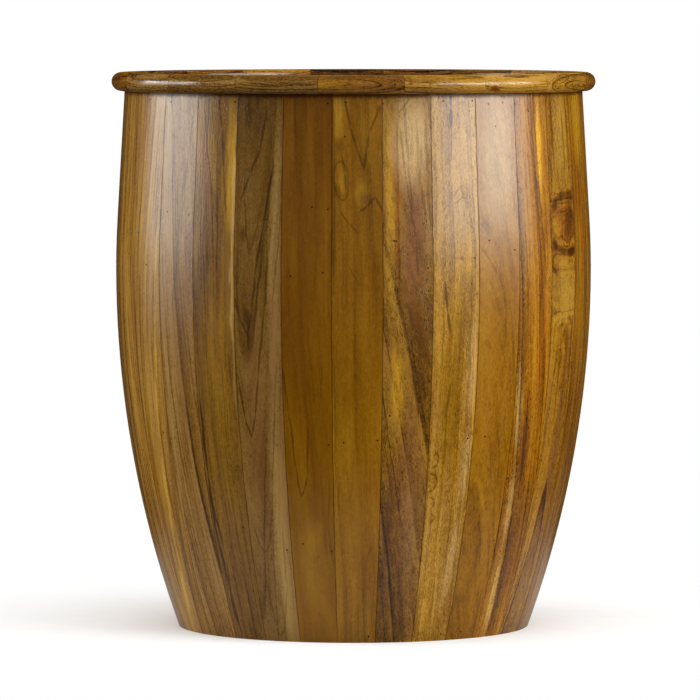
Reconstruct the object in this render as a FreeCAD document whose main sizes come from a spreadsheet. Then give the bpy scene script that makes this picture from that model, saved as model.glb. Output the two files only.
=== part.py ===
"""Drum side table in solid teak, built as a cooper builds a barrel.

Thirty bevelled staves stand edge to edge and make a shell that bellies out above its middle and draws
in to the floor. Four hoops sit inside the shell. A ring of mitred segments with a half-round edge caps
the stave ends and stands a little proud of the panel of boards inside it, so the top is a shallow tray.
Two battens, screwed on from below, hold the boards flat.

The frame is +Z up with the origin on the floor at the centre of the drum. The front is -Y.
Lengths are in millimetres and angles in degrees.
"""

import FreeCAD, Part
import math
import os

import Sketcher

Vector = FreeCAD.Vector

doc = FreeCAD.newDocument("drum_table")

# --------------------------------------------------------------------------------------------------
# Driving dimensions
# --------------------------------------------------------------------------------------------------

SIZES = [
    # the drum as a whole
    ("table_height", 508),
    ("belly_diameter", 435.6),
    ("belly_height", 328),
    ("foot_diameter", 321.2),
    ("shoulder_height", 373),
    ("shoulder_taper", 3.3),
    ("glue_line", 0.1),
    # staves
    ("stave_count", 30),
    ("stave_thickness", 16),
    ("stave_arris", 0.5),
    ("stave_turn", 0.9),
    # rim ring
    ("rim_overhang", 11.9),
    ("rim_height", 17),
    ("rim_width", 24),
    ("rim_inner_round", 4),
    ("rim_segment_count", 18),
    ("rim_turn", 1.8),
    # boards of the top panel
    ("tray_depth", 5.5),
    ("board_count", 5),
    ("board_arris", 0.6),
    ("panel_gap", 0.5),
    # hoops inside the shell
    ("hoop_height", 22),
    ("hoop_width", 20),
    ("upper_hoop_level", 333),
    ("lower_hoop_level", 184),
    ("foot_hoop_lift", 3),
    # battens under the panel and their screws
    ("batten_width", 32),
    ("batten_thickness", 15),
    ("batten_chamfer", 3),
    ("batten_spacing", 120),
    ("batten_end_gap", 3),
    ("screw_diameter", 3.5),
    ("screw_head_diameter", 7),
    ("screw_length", 21),
    ("screw_clearance", 0.1),
]

sizes = doc.addObject("Spreadsheet::Sheet", "Sizes")
for row, (alias, value) in enumerate(SIZES, start=1):
    sizes.set(f"A{row}", alias)
    sizes.set(f"B{row}", str(value))
    sizes.setAlias(f"B{row}", alias)
doc.recompute()

# Formulas that several pieces share. Each is text for the expression engine.
SHELL_TOP = "(Sizes.table_height - Sizes.rim_height)"
BELLY_RADIUS = "(Sizes.belly_diameter / 2)"
FOOT_INSET = "((Sizes.belly_diameter - Sizes.foot_diameter) / 2)"
LOWER_ARC = f"((Sizes.belly_height^2 + {FOOT_INSET}^2) / (2 * {FOOT_INSET}))"
TAPER = "(Sizes.shoulder_taper * 1deg)"
UPPER_ARC = f"((Sizes.shoulder_height - Sizes.belly_height) / sin({TAPER}))"
GLUE_ANGLE = f"(Sizes.glue_line / {BELLY_RADIUS} * 180 / pi)"
STAVE_STEP = "(360 / Sizes.stave_count)"
SEGMENT_STEP = "(360 / Sizes.rim_segment_count)"
FRONT = -90  # the compass angle of -Y


def number(formula):
    """The value of a formula, as a plain number."""
    return float(sizes.evalExpression(formula))


def shoulder_radius(depth):
    """Formula for the radius where the straight shoulder begins, that depth in from outside."""
    return f"({BELLY_RADIUS} - {UPPER_ARC} + ({UPPER_ARC} - {depth}) * cos({TAPER}))"


def shoulder_level(depth):
    """Formula for the level where the straight shoulder begins."""
    return f"(Sizes.belly_height + ({UPPER_ARC} - {depth}) * sin({TAPER}))"


def wall_radius(level, depth):
    """Formula for the shell's radius at a level, that depth in from its outer face.

    The wall is one long arc up to the belly, a second arc over it, and a straight taper above.
    """

    def on_arc(arc):
        return (
            f"({BELLY_RADIUS} - {arc}"
            f" + sqrt(({arc} - {depth})^2 - ({level} - Sizes.belly_height)^2))"
        )

    straight = f"({shoulder_radius(depth)} - ({level} - {shoulder_level(depth)}) * tan({TAPER}))"
    upper = f"({level} < {shoulder_level(depth)} ? {on_arc(UPPER_ARC)} : {straight})"
    return f"({level} < Sizes.belly_height ? {on_arc(LOWER_ARC)} : {upper})"


RIM_RADIUS = f"({wall_radius(SHELL_TOP, '0')} + Sizes.rim_overhang)"
RIM_INNER_RADIUS = f"({RIM_RADIUS} - Sizes.rim_width)"
PANEL_RADIUS = f"({RIM_INNER_RADIUS} - Sizes.panel_gap)"
PANEL_TOP = "(Sizes.table_height - Sizes.tray_depth)"
BOARD_WIDTH = f"(2 * {PANEL_RADIUS} / Sizes.board_count)"
HOOP_SEAT = "(Sizes.stave_thickness + Sizes.glue_line)"
TOP_HOOP_BORE = f"({wall_radius(SHELL_TOP, HOOP_SEAT)} - Sizes.hoop_width)"
BATTEN_HALF_LENGTH = (
    f"sqrt(({TOP_HOOP_BORE} - Sizes.batten_end_gap)^2"
    " - (Sizes.batten_spacing / 2 + Sizes.batten_width / 2)^2)"
)
BATTEN_BOTTOM = f"({SHELL_TOP} - Sizes.batten_thickness)"
SCREW_BITE = "(Sizes.screw_length - Sizes.batten_thickness)"
SCREW_REACH = f"(({BATTEN_HALF_LENGTH} + {PANEL_RADIUS} - {BOARD_WIDTH}) / 2)"
SCREW_PITCH = f"(2 * {SCREW_REACH} / (Sizes.board_count - 1))"

# --------------------------------------------------------------------------------------------------
# Sketch and body helpers
# --------------------------------------------------------------------------------------------------

START, END, CENTRE = range(1, 4)  # Sketcher's numbers for the points of a line or an arc
ORIGIN = (-1, START)  # the sketch's own origin point
NEAR = 0.01  # how far off a surface a point may lie and still count as on it


def new_body(label):
    """A body with its own label, which also names its file."""
    body = doc.addObject("PartDesign::Body", label)
    body.Label = label
    return body


def sketch_on(body, role, name, lift=None):
    """A sketch on one of the body's own origin planes, raised by the formula lift."""
    sketch = body.newObject("Sketcher::SketchObject", name)
    plane = next(f for f in body.Origin.OriginFeatures if f.Role == role)
    sketch.AttachmentSupport = (plane, [""])
    sketch.MapMode = "FlatFace"
    if lift:
        sketch.setExpression("AttachmentOffset.Base.z", lift)
    return sketch


def place(sketch, point, x, y, name):
    """Fixes a sketch point at the formulas x and y from the origin. None leaves one free."""
    geometry, which = point
    for kind, formula, axis in (("DistanceX", x, "x"), ("DistanceY", y, "y")):
        if formula is None:
            continue
        index = sketch.addConstraint(
            Sketcher.Constraint(kind, *ORIGIN, geometry, which, number(formula))
        )
        sketch.renameConstraint(index, f"{name}_{axis}")
        sketch.setExpression(f"Constraints.{name}_{axis}", formula)


def join(sketch, *pairs):
    """Makes each pair of sketch points coincide."""
    for first, second in pairs:
        sketch.addConstraint(Sketcher.Constraint("Coincident", *first, *second))


def outline(sketch, corners):
    """A closed outline of straight lines through corners, each a pair of formulas."""
    points = [Vector(number(x), number(y), 0) for x, y in corners]
    lines = [
        sketch.addGeometry(Part.LineSegment(start, end))
        for start, end in zip(points, points[1:] + points[:1])
    ]
    join(
        sketch,
        *(
            ((line, END), (following, START))
            for line, following in zip(lines, lines[1:] + lines[:1])
        ),
    )
    for line, (x, y) in zip(lines, corners):
        place(sketch, (line, START), x, y, f"corner{line}")


def circle(sketch, x, y, radius, name):
    """A circle whose centre and radius are formulas."""
    centre = Vector(number(x), number(y), 0)
    index = sketch.addGeometry(Part.Circle(centre, Vector(0, 0, 1), number(radius)))
    rim = sketch.addConstraint(Sketcher.Constraint("Radius", index, number(radius)))
    sketch.renameConstraint(rim, f"{name}_radius")
    sketch.setExpression(f"Constraints.{name}_radius", radius)
    place(sketch, (index, CENTRE), x, y, name)


def revolve(body, sketch, angle):
    """Turns a section about the drum's axis, half the angle to each side."""
    turned = body.newObject("PartDesign::Revolution", "Turned")
    turned.Profile = sketch
    turned.ReferenceAxis = (sketch, ["V_Axis"])
    turned.Midplane = True
    turned.setExpression("Angle", angle)
    return turned


def turn_to(body, angle):
    """Turns a finished piece about the drum's axis, by a formula in degrees from the front."""
    body.Placement = FreeCAD.Placement(Vector(), FreeCAD.Rotation(Vector(0, 0, 1), 1))
    body.setExpression("Placement.Rotation.Angle", f"{angle} + {FRONT}")


def pocket(body, sketch, length=None):
    """Cuts a sketch upwards by a formula, or right through in both directions."""
    cut = body.newObject("PartDesign::Pocket", "Cut_" + sketch.Name)
    cut.Profile = sketch
    if length:
        cut.Reversed = True
        cut.setExpression("Length", length)
    else:
        cut.Type = "ThroughAll"
        cut.Midplane = True
    return cut


# --------------------------------------------------------------------------------------------------
# Staves
# --------------------------------------------------------------------------------------------------


def wall_line(sketch, depth, name):
    """The wall's line at one depth: lower arc, upper arc and straight shoulder, foot to top."""
    level = number("Sizes.belly_height")
    pieces = []
    for arc, reach in ((LOWER_ARC, -level), (UPPER_ARC, number(shoulder_level(depth)) - level)):
        centre = Vector(number(f"{BELLY_RADIUS} - {arc}"), level, 0)
        radius = number(f"{arc} - {depth}")
        sweep = math.asin(reach / radius)
        round_line = Part.Circle(centre, Vector(0, 0, 1), radius)
        bend = sketch.addGeometry(Part.ArcOfCircle(round_line, min(sweep, 0), max(sweep, 0)))
        middle = f"{name}{bend}"
        place(sketch, (bend, CENTRE), f"{BELLY_RADIUS} - {arc}", "Sizes.belly_height", middle)
        pieces.append(bend)
    lower, upper = pieces
    top_x = wall_radius(SHELL_TOP, depth)
    top = Vector(number(top_x), number(SHELL_TOP), 0)
    shoulder = sketch.addGeometry(Part.LineSegment(sketch.getPoint(upper, END), top))
    join(sketch, ((lower, END), (upper, START)), ((upper, END), (shoulder, START)))
    place(sketch, (lower, START), None, "0", f"{name}_foot")
    place(sketch, (lower, END), f"{BELLY_RADIUS} - {depth}", "Sizes.belly_height", f"{name}_belly")
    place(sketch, (upper, END), None, shoulder_level(depth), f"{name}_shoulder")
    place(sketch, (shoulder, END), top_x, SHELL_TOP, f"{name}_top")
    return (lower, START), (shoulder, END)


def stave_section(sketch):
    """One stave cut on its centre line, between two parallel wall lines."""
    outer_foot, outer_top = wall_line(sketch, "0", "outer")
    inner_foot, inner_top = wall_line(sketch, "Sizes.stave_thickness", "inner")
    for first, second in ((outer_foot, inner_foot), (outer_top, inner_top)):
        ends = [sketch.getPoint(*first), sketch.getPoint(*second)]
        line = sketch.addGeometry(Part.LineSegment(*ends))
        join(sketch, ((line, START), first), ((line, END), second))


def outer_arrises(shape):
    """Names of the long outer edges of a stave and of its outer edge at the floor."""
    names = []
    for number_of_edge, edge in enumerate(shape.Edges, start=1):
        middle = edge.valueAt((edge.FirstParameter + edge.LastParameter) / 2)
        outer = number(wall_radius(str(middle.z), "0"))
        on_outer_face = abs(math.hypot(middle.x, middle.y) - outer) < NEAR
        along = abs(edge.Vertexes[0].Z - edge.Vertexes[-1].Z) > NEAR
        at_floor = middle.z < NEAR
        if on_outer_face and (along or at_floor):
            names.append(f"Edge{number_of_edge}")
    return names


def make_stave(index):
    """One bevelled, bent stave. Its long edges lie on planes through the drum's axis."""
    body = new_body(f"stave_{index + 1:02d}")
    section = sketch_on(body, "XZ_Plane", "Section")
    stave_section(section)
    turned = revolve(body, section, f"{STAVE_STEP} - {GLUE_ANGLE}")
    doc.recompute()
    eased = body.newObject("PartDesign::Chamfer", "Eased")
    eased.Base = (turned, outer_arrises(turned.Shape))
    eased.setExpression("Size", "Sizes.stave_arris")
    turn_to(body, f"{index} * {STAVE_STEP} + Sizes.stave_turn")
    return body


# --------------------------------------------------------------------------------------------------
# Rim
# --------------------------------------------------------------------------------------------------


def rim_section(sketch):
    """Half-round outside, level crest, and a small round down to the panel inside."""
    edge_radius = "(Sizes.rim_height / 2)"
    nose_x = f"({RIM_RADIUS} - {edge_radius})"
    nose_z = f"({SHELL_TOP} + {edge_radius})"
    inner_x = f"({RIM_INNER_RADIUS} + Sizes.rim_inner_round)"
    inner_z = "(Sizes.table_height - Sizes.rim_inner_round)"

    def quarter_arc(x, z, radius, first, last, name):
        centre = Vector(number(x), number(z), 0)
        round_line = Part.Circle(centre, Vector(0, 0, 1), number(radius))
        arc = sketch.addGeometry(
            Part.ArcOfCircle(round_line, math.radians(first), math.radians(last))
        )
        place(sketch, (arc, CENTRE), x, z, name)
        return arc

    nose = quarter_arc(nose_x, nose_z, edge_radius, -90, 90, "nose")
    bead = quarter_arc(inner_x, inner_z, "Sizes.rim_inner_round", 90, 180, "bead")
    seat_corner = Vector(number(RIM_INNER_RADIUS), number(SHELL_TOP), 0)
    seat = sketch.addGeometry(Part.LineSegment(seat_corner, sketch.getPoint(nose, START)))
    crest = sketch.addGeometry(
        Part.LineSegment(sketch.getPoint(nose, END), sketch.getPoint(bead, START))
    )
    inner = sketch.addGeometry(Part.LineSegment(sketch.getPoint(bead, END), seat_corner))
    join(
        sketch,
        ((seat, END), (nose, START)),
        ((nose, END), (crest, START)),
        ((crest, END), (bead, START)),
        ((bead, END), (inner, START)),
        ((inner, END), (seat, START)),
    )
    place(sketch, (seat, START), RIM_INNER_RADIUS, SHELL_TOP, "seat")
    place(sketch, (nose, START), nose_x, SHELL_TOP, "nose_foot")
    place(sketch, (nose, END), nose_x, None, "nose_top")
    place(sketch, (bead, START), inner_x, "Sizes.table_height", "bead_top")
    place(sketch, (bead, END), None, inner_z, "bead_foot")


def make_rim_segment(index):
    """One mitred piece of the rim ring."""
    body = new_body(f"rim_segment_{index + 1:02d}")
    section = sketch_on(body, "XZ_Plane", "Section")
    rim_section(section)
    revolve(body, section, f"{SEGMENT_STEP} - {GLUE_ANGLE}")
    turn_to(body, f"{index} * {SEGMENT_STEP} + Sizes.rim_turn")
    return body


# --------------------------------------------------------------------------------------------------
# Top panel
# --------------------------------------------------------------------------------------------------


def board_centre(index):
    """Formula for the middle of a board, across the panel."""
    return f"(({index} + 0.5) * {BOARD_WIDTH} - {PANEL_RADIUS})"


def screw_place(index):
    """Formula for a screw's place across the panel, one in each board.

    The two outermost stand halfway along the last bit of batten, under the outer boards.
    """
    return f"({index} * {SCREW_PITCH} - {SCREW_REACH})"


def make_board(index):
    """One board of the panel, eased along both top edges and cut round with its neighbours."""
    body = new_body(f"top_board_{index + 1}")
    half = f"({BOARD_WIDTH} / 2 - Sizes.glue_line / 2)"
    left = f"({board_centre(index)} - {half})"
    right = f"({board_centre(index)} + {half})"
    shoulder = f"({PANEL_TOP} - Sizes.board_arris)"
    section = sketch_on(body, "XZ_Plane", "Section")
    outline(
        section,
        [
            (left, SHELL_TOP),
            (right, SHELL_TOP),
            (right, shoulder),
            (f"({right} - Sizes.board_arris)", PANEL_TOP),
            (f"({left} + Sizes.board_arris)", PANEL_TOP),
            (left, shoulder),
        ],
    )
    plank = body.newObject("PartDesign::Pad", "Plank")
    plank.Profile = section
    plank.Midplane = True
    plank.setExpression("Length", f"2.2 * {PANEL_RADIUS}")
    round_cut = sketch_on(body, "XY_Plane", "RoundCut", SHELL_TOP)
    circle(round_cut, "0", "0", PANEL_RADIUS, "panel")
    circle(round_cut, "0", "0", f"2 * {PANEL_RADIUS}", "waste")
    doc.recompute()
    pocket(body, round_cut)
    pilots = sketch_on(body, "XY_Plane", "Pilots", SHELL_TOP)
    for side, name in (("0.5", "back"), ("-0.5", "front")):
        radius = "(Sizes.screw_diameter / 2 + Sizes.screw_clearance)"
        level = f"({side} * Sizes.batten_spacing)"
        circle(pilots, screw_place(index), level, radius, name)
    doc.recompute()
    pocket(body, pilots, f"({SCREW_BITE} + Sizes.screw_clearance)")
    return body


# --------------------------------------------------------------------------------------------------
# Hoops
# --------------------------------------------------------------------------------------------------


def make_hoop(label, bottom, top, bore):
    """A ring inside the shell. Its outer edge is coned to the slope of the staves behind it."""
    body = new_body(label)
    section = sketch_on(body, "XZ_Plane", "Section")
    outline(
        section,
        [
            (bore, bottom),
            (wall_radius(bottom, HOOP_SEAT), bottom),
            (wall_radius(top, HOOP_SEAT), top),
            (bore, top),
        ],
    )
    revolve(body, section, "360")
    return body


def make_middle_hoop(label, level):
    """A hoop centred on a level, as wide as the others at that height."""
    bottom = f"({level} - Sizes.hoop_height / 2)"
    top = f"({level} + Sizes.hoop_height / 2)"
    bore = f"({wall_radius(level, HOOP_SEAT)} - Sizes.hoop_width)"
    return make_hoop(label, bottom, top, bore)


# --------------------------------------------------------------------------------------------------
# Battens and screws
# --------------------------------------------------------------------------------------------------

HEAD_DEPTH = "((Sizes.screw_head_diameter - Sizes.screw_diameter) / 2)"
SHANK_BORE = "(Sizes.screw_diameter / 2 + Sizes.screw_clearance)"
HEAD_BORE = "(Sizes.screw_head_diameter / 2 + Sizes.screw_clearance)"


def make_batten(label, side):
    """A bar across the boards, with its lower edges chamfered and a countersunk hole per board."""
    body = new_body(label)
    level = f"({side} * Sizes.batten_spacing / 2)"
    front = f"({level} - Sizes.batten_width / 2)"
    back = f"({level} + Sizes.batten_width / 2)"
    section = sketch_on(body, "YZ_Plane", "Section")
    shoulder = f"({BATTEN_BOTTOM} + Sizes.batten_chamfer)"
    outline(
        section,
        [
            (f"({front} + Sizes.batten_chamfer)", BATTEN_BOTTOM),
            (f"({back} - Sizes.batten_chamfer)", BATTEN_BOTTOM),
            (back, shoulder),
            (back, SHELL_TOP),
            (front, SHELL_TOP),
            (front, shoulder),
        ],
    )
    bar = body.newObject("PartDesign::Pad", "Bar")
    bar.Profile = section
    bar.Midplane = True
    bar.setExpression("Length", f"2 * {BATTEN_HALF_LENGTH}")
    holes = sketch_on(body, "XZ_Plane", "ScrewHole")
    # Half the outline of a countersunk hole, turned about a line through its own axis.
    holes.setExpression("AttachmentOffset.Base.z", f"-1 * {level}")
    first = screw_place(0)
    outline(
        holes,
        [
            (first, BATTEN_BOTTOM),
            (f"({first} + {HEAD_BORE})", BATTEN_BOTTOM),
            (f"({first} + {SHANK_BORE})", f"({BATTEN_BOTTOM} + {HEAD_DEPTH})"),
            (f"({first} + {SHANK_BORE})", SHELL_TOP),
            (first, SHELL_TOP),
        ],
    )
    doc.recompute()
    sunk = body.newObject("PartDesign::Groove", "Countersunk")
    sunk.Profile = holes
    sunk.ReferenceAxis = (holes, ["Edge5"])
    sunk.Angle = 360
    doc.recompute()
    row = body.newObject("PartDesign::LinearPattern", "ScrewRow")
    row.Originals = [sunk]
    row.Direction = (holes, ["H_Axis"])
    row.setExpression("Length", f"2 * {SCREW_REACH}")
    row.Occurrences = int(number("Sizes.board_count"))
    body.Tip = row
    return body


def make_screws():
    """Every countersunk screw of both battens, one separate solid each."""
    shank = number("Sizes.screw_diameter") / 2
    head = number("Sizes.screw_head_diameter") / 2
    bottom = number(BATTEN_BOTTOM)
    length = number("Sizes.screw_length")
    head_depth = head - shank
    profile = [
        Vector(0, 0, 0),
        Vector(head, 0, 0),
        Vector(shank, 0, head_depth),
        Vector(shank, 0, length - shank),
        Vector(0, 0, length),
        Vector(0, 0, 0),
    ]
    screw = Part.Face(Part.makePolygon(profile)).revolve(Vector(), Vector(0, 0, 1), 360)
    copies = []
    for side in (-0.5, 0.5):
        for index in range(int(number("Sizes.board_count"))):
            copy = screw.copy()
            across = number(screw_place(index))
            copy.translate(Vector(across, side * number("Sizes.batten_spacing"), bottom))
            copies.append(copy)
    group = doc.addObject("Part::Feature", "batten_screws")
    group.Label = "batten_screws"
    group.Shape = Part.makeCompound(copies)
    return group


# --------------------------------------------------------------------------------------------------
# Assembly
# --------------------------------------------------------------------------------------------------

pieces = [make_stave(i) for i in range(int(number("Sizes.stave_count")))]
pieces += [make_rim_segment(i) for i in range(int(number("Sizes.rim_segment_count")))]
pieces += [make_board(i) for i in range(int(number("Sizes.board_count")))]
pieces += [
    make_hoop("top_hoop", f"({SHELL_TOP} - Sizes.hoop_height)", SHELL_TOP, TOP_HOOP_BORE),
    make_middle_hoop("upper_hoop", "Sizes.upper_hoop_level"),
    make_middle_hoop("lower_hoop", "Sizes.lower_hoop_level"),
    make_middle_hoop("foot_hoop", "(Sizes.foot_hoop_lift + Sizes.hoop_height / 2)"),
    make_batten("batten_front", "-1"),
    make_batten("batten_back", "1"),
    make_screws(),
]
doc.recompute()

for item in doc.Objects:
    if "Invalid" in item.State or "Error" in item.State:
        raise RuntimeError(f"{item.Label} failed: {item.State}")
for piece in pieces:
    if piece.Shape.isNull() or not piece.Shape.isValid():
        raise RuntimeError(f"{piece.Label} has no valid shape")

os.makedirs("parts", exist_ok=True)
for piece in pieces:
    piece.Shape.exportStep(f"parts/{piece.Label}.step")
    print(f"{piece.Label}: {len(piece.Shape.Solids)} solid, {piece.Shape.Volume / 1000:.1f} cm3")
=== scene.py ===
# %% [markdown]
# # A barrel-shaped side table in lacquered teak
#
# The table is built like a cask. Thirty bent staves stand in a ring, four hoops inside pull them
# together, and a ring of mitred segments with a half-round edge caps them. The boards of the top lie
# a few millimetres below the rim, as in a tray. The solids come from the CAD model. This script
# gives them the surfaces that the eye reads as old teak under a satin lacquer.

# %% The frame: every solid of the table, in metres, at its place
import math
import random

import bmesh
import bpy
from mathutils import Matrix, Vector


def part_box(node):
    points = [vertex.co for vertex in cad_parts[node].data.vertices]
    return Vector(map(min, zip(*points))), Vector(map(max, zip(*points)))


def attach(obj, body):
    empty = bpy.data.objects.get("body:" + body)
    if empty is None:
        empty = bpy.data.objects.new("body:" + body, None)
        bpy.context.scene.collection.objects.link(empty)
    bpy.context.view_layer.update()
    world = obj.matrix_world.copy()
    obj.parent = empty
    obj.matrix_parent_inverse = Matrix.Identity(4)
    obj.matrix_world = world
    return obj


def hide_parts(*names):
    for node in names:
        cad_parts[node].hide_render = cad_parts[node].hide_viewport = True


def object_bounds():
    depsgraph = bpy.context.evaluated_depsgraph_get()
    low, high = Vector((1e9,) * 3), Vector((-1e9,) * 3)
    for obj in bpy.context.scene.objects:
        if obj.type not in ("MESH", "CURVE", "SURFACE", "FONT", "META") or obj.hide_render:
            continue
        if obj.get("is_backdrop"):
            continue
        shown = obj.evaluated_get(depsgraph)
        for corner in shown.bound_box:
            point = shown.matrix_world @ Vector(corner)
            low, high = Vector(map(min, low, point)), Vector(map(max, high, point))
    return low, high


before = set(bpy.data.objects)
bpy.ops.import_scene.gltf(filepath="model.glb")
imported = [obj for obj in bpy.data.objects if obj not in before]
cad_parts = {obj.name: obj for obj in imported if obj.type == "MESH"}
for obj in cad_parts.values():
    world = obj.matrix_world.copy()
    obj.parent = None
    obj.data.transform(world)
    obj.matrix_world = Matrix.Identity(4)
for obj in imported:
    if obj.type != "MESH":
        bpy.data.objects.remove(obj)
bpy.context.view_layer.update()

# %% [markdown]
# ## The camera
#
# A product picture like this is taken from far away with a long lens, which keeps the staves almost
# parallel. The camera stands 5.4 m away and a little higher than the rim, so the rim shows as a
# very flat ellipse with the far side just above the near one.

# %% The camera
camera_data = bpy.data.cameras.new("product_camera")
camera_data.sensor_width = 36.0
camera_data.lens = 305.1
camera = bpy.data.objects.new("product_camera", camera_data)
bpy.context.scene.collection.objects.link(camera)
camera.location = (0.0, -5.4413, 0.5813)
look_at = Vector((-0.0032, 0.0, 0.2528))
camera.rotation_euler = (look_at - camera.location).to_track_quat("-Z", "Y").to_euler()
bpy.context.scene.camera = camera
print("camera", round((look_at - camera.location).length, 3), "m from the table")

# %% [markdown]
# ## Real sizes
#
# The staves swell to 435.6 mm at the belly, narrow to 321.2 mm at the floor and run straight and
# slightly inwards above 373 mm. `wall_radius` gives the radius of the shell at any level, so that
# every piece made here meets the solids that it stands for.

# %% Sizes in metres
MM = 0.001
BELLY_RADIUS, BELLY_LEVEL = 217.8 * MM, 328 * MM
FOOT_RADIUS = 160.6 * MM
SHOULDER_LEVEL, SHOULDER_TAPER = 373 * MM, math.radians(3.3)
SHELL_TOP = 491 * MM
STAVE_COUNT, STAVE_THICKNESS, STAVE_TURN = 30, 16 * MM, 0.9
RIM_COUNT, RIM_WIDTH, RIM_HEIGHT, RIM_TURN = 18, 24 * MM, 17 * MM, 1.8
RIM_OVERHANG, RIM_INNER_ROUND = 11.9 * MM, 4 * MM
TRAY_DEPTH = 5.5 * MM
GLUE_LINE = 0.1 * MM


def wall_radius(level, depth=0.0):
    """Radius of the shell at a level, or of the surface that lies `depth` inside it."""
    inset = BELLY_RADIUS - FOOT_RADIUS
    lower = (BELLY_LEVEL**2 + inset**2) / (2 * inset)
    upper = (SHOULDER_LEVEL - BELLY_LEVEL) / math.sin(SHOULDER_TAPER)
    if level < BELLY_LEVEL:
        return BELLY_RADIUS - lower + math.sqrt((lower - depth) ** 2 - (level - BELLY_LEVEL) ** 2)
    turning = BELLY_LEVEL + (upper - depth) * math.sin(SHOULDER_TAPER)
    if level < turning:
        return BELLY_RADIUS - upper + math.sqrt((upper - depth) ** 2 - (level - BELLY_LEVEL) ** 2)
    edge = BELLY_RADIUS - upper + (upper - depth) * math.cos(SHOULDER_TAPER)
    return edge - (level - turning) * math.tan(SHOULDER_TAPER)


def ring_turn(number, count, first):
    """Degrees from the front to the middle of piece `number` in a ring of `count` pieces."""
    return first + (number - 1) * 360 / count


RIM_RADIUS = wall_radius(SHELL_TOP) + RIM_OVERHANG
print("shell radius at the top", round(wall_radius(SHELL_TOP), 4), "rim radius", round(RIM_RADIUS, 4))

# %% [markdown]
# ## Colours and nodes
#
# Colours are written as the sRGB hex values that a paint shop would use, and one function turns
# them to the linear values that the renderer counts in. One more function adds a node, sets its
# settings and links its inputs, so that each finish below reads as a list of steps.

# %% Helpers for materials
SMOOTH = {"interpolation_type": "SMOOTHSTEP"}


def colour(code):
    """'#8a5b0c' as linear red, green, blue and alpha."""
    parts = [int(code[i : i + 2], 16) / 255 for i in (1, 3, 5)]
    return tuple(p / 12.92 if p <= 0.04045 else ((p + 0.055) / 1.055) ** 2.4 for p in parts) + (1.0,)


def add(tree, kind, links=None, stops=None, **settings):
    """Add a node. `links` gives each input a value, a socket or a node; `stops` are a ramp's."""
    node = tree.nodes.new("ShaderNode" + kind)
    for name, value in settings.items():
        setattr(node, name, value)
    for key, value in (links or {}).items():
        if isinstance(key, int):
            socket = node.inputs[key]
        else:
            socket = next(s for s in node.inputs if s.name == key and s.enabled)
        if isinstance(value, bpy.types.Node):
            value = next(s for s in value.outputs if s.enabled)
        if isinstance(value, bpy.types.NodeSocket):
            tree.links.new(value, socket)
        else:
            socket.default_value = value
    if stops:
        elements = node.color_ramp.elements
        while len(elements) < len(stops):
            elements.new(1.0)
        for element, (position, shade) in zip(elements, stops):
            element.position, element.color = position, shade
    return node


def new_material(name):
    """An empty node material and its tree."""
    material = bpy.data.materials.new(name)
    material.use_nodes = True
    material.node_tree.nodes.clear()
    return material, material.node_tree


print("colour('#ffffff') =", colour("#ffffff"))

# %% [markdown]
# ## Teak, step 1: where a point lies in its board
#
# Grain belongs to the board and not to the table. Each pattern is therefore drawn in the board's
# own coordinates: across it, into its depth and along it, in metres. A Mapping node turns the table
# until the board faces front. A bent stave keeps its grain along its curve, so its depth is left
# out, while a rim segment is sawn from straight wood and its grain runs straight through the curve.

# %% Board coordinates
def board_space(tree, turn, lay):
    """The table turned back by `turn` degrees, and (across, depth, along) in the board there."""
    place = add(tree, "TexCoord")
    front = add(tree, "Mapping", {"Vector": place.outputs["Object"],
                                  "Rotation": (0, 0, math.radians(turn))}, vector_type="TEXTURE")
    split = add(tree, "SeparateXYZ", {0: front})
    x, y, z = split.outputs
    if lay == "stave":
        return front, add(tree, "CombineXYZ", {"X": x, "Z": z})
    if lay == "rim":
        return front, add(tree, "CombineXYZ", {"X": z, "Y": y, "Z": x})
    return front, add(tree, "CombineXYZ", {"X": x, "Y": z, "Z": y})


print("board coordinates are ready")

# %% [markdown]
# ## Teak, step 2: noise in the sizes of wood
#
# Nearly all that varies in a board is drawn out along it: slow bends of the grain, oily streaks,
# single dark strands, flecks and pores. One noise serves for all of them. What differs is the width
# and length of a streak, which are given in millimetres. Real pores are only about 0.3 mm wide, so
# they are drawn three times as wide here to show at all.

# %% Patterns: width and length of a streak in millimetres, seed, detail, roughness
PATTERNS = {
    "bend": (40, 260, 0.0, 1.0, 0.5), "waver": (7, 30, 1.9, 1.0, 0.5),
    "tremble": (1.6, 9, 2.2, 1.0, 0.5), "torn edge": (3, 22, 2.5, 3.0, 0.5),
    "wavy edge": (6, 16, 3.1, 3.0, 0.6), "fine streak": (1.0, 60, 2.7, 3.0, 0.65),
    "wide streak": (4.5, 200, 3.3, 2.0, 0.5), "broad": (24, 150, 4.4, 2.0, 0.5),
    "fleck": (1.0, 2.6, 7.7, 2.0, 0.6), "mottle": (3.5, 9.0, 6.6, 3.0, 0.7),
    "strand": (1.5, 110, 8.2, 2.0, 0.6), "strong rings": (5.0, 120, 5.5, 1.0, 0.5),
    "pore": (0.9, 3.2, 5.1, 1.0, 0.5), "pore patch": (9.0, 45.0, 6.3, 1.0, 0.5),
    "mauve": (13, 90, 8.8, 2.0, 0.5), "golden": (13, 90, 9.3, 2.0, 0.5),
    "dirt_and_shade": (4.0, 30.0, 9.9, 3.0, 0.7), "film": (1.3, 2.6, 4.9, 2.0, 0.5),
    "sawn streak": (1.5, 90, 0.0, 3.0, 0.6), "sawn cloud": (20, 140, 1.0, 1.0, 0.5),
}
SEED_SHIFT = (1.37, 0.71, 2.13)  # how far one step of the seed moves the noise on each axis


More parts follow.
